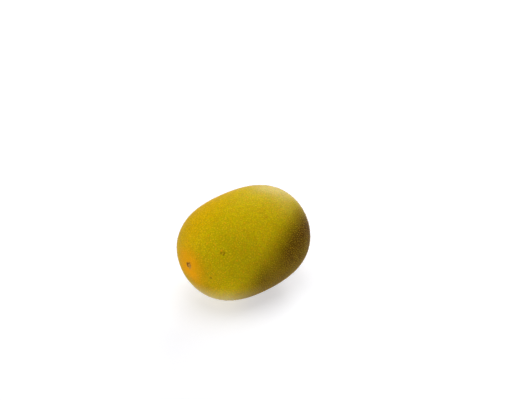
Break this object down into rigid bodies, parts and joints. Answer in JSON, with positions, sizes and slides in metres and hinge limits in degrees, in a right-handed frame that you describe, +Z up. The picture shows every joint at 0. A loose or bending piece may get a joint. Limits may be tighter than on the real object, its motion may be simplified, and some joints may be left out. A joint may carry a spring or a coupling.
{
  "type": "golden kiwi fruit",
  "caption": "Golden kiwi fruit lying on its side: a blunt oval with smooth olive-gold skin, a small blossom scar at one end and a corky stem disc at the other.",
  "frame": {"origin": "under the middle of the fruit's box, on the flat spot it rests on", "axes": "+X along the fruit from the blossom scar to the stem disc, +Z up"},
  "size_m": [0.072, 0.052, 0.0502],
  "materials": {
    "skin": "thin olive-gold fruit skin, satin, with fine pale raised dots and short down; corky tan-orange at the stem disc"
  },
  "bodies": {
    "root": {"kiwi_fruit": "skin"}
  },
  "joints": []
}
